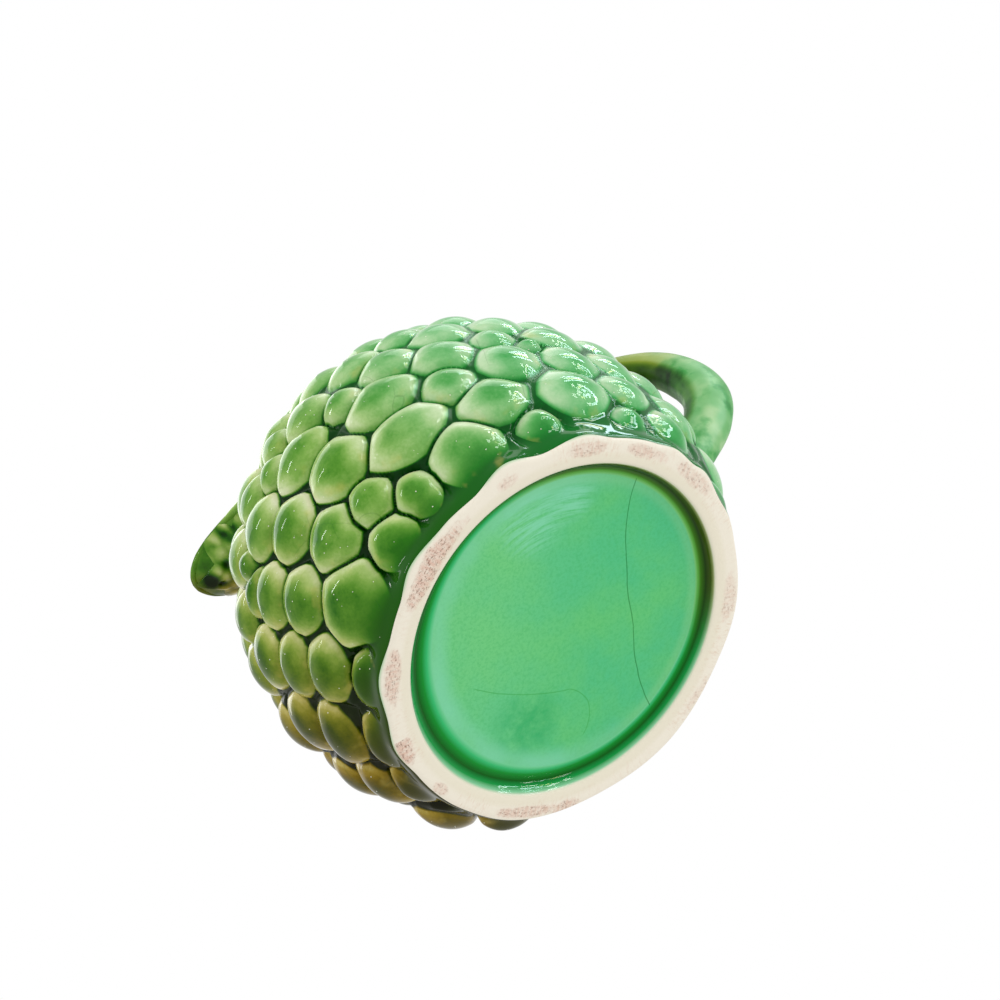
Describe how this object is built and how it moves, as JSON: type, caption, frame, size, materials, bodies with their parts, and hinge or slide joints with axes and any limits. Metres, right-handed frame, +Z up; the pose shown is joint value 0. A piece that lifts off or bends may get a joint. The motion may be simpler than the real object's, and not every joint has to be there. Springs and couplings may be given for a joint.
{
  "type": "ceramic jug",
  "caption": "Round glazed ceramic jug covered in grape relief, with a leaf-shaped pouring lip, a branch handle and an unglazed foot ring.",
  "frame": {"origin": "on the table under the middle of the object's bounding box", "axes": "+Z up out of the mouth, +X from the jug's axis towards the handle, the pouring lip towards -X"},
  "size_m": [0.1866, 0.1556, 0.1286],
  "materials": {
    "green_glaze": "transparent green glaze over cream clay, glossy, darker where it pools between the grapes",
    "leaf_glaze": "the same green glaze, glossy, a little deeper on the neck, leaves and handle",
    "base_glaze": "thin mottled green glaze, glossy, pooled dark at the edge",
    "bare_clay": "bare fired cream clay, matt, with pinkish wear"
  },
  "bodies": {
    "root": {"foot_ring": "bare_clay", "base_floor": "base_glaze", "grape_body": "green_glaze", "grape_shoulder": "green_glaze", "neck": "leaf_glaze", "mouth_rim": "leaf_glaze", "pouring_lip": "green_glaze", "lip_leaf": "green_glaze", "handle": "leaf_glaze", "left_leaf": "leaf_glaze", "right_leaf": "leaf_glaze", "back_leaf": "leaf_glaze"}
  },
  "joints": []
}
